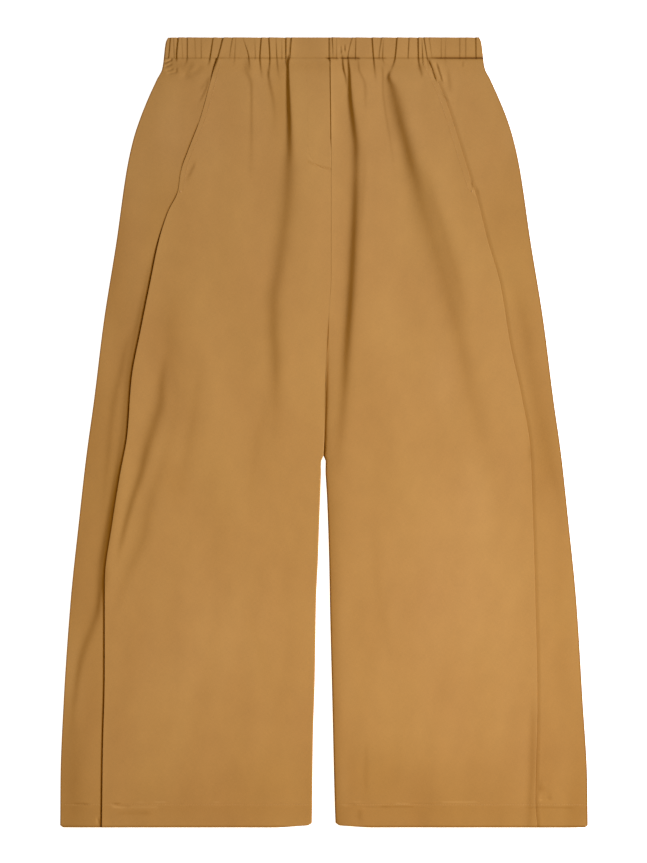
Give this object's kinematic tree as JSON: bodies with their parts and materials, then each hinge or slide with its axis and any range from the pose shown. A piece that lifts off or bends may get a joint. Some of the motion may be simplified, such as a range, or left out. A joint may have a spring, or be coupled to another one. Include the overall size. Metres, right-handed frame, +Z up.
{
  "type": "parachute pants",
  "caption": "Wide-leg pull-on cotton trousers with a gathered elastic waistband, a mock fly and pocket slits in forward side seams, laid flat with the front up.",
  "frame": {"origin": "middle of the garment's outline, on the surface that it lies on", "axes": "+X to the wearer's left, +Y towards the waist, +Z up out of the front"},
  "size_m": [0.63, 0.9469, 0.0077],
  "materials": {
    "cotton": "matt tan cotton twill, matched thread",
    "casing": "the same cotton over elastic, gathered"
  },
  "bodies": {
    "root": {"front_right": "cotton", "front_left": "cotton", "back_right": "cotton", "back_left": "cotton", "fly": "cotton", "waistband_front": "casing", "waistband_elastic": "casing"}
  },
  "joints": []
}
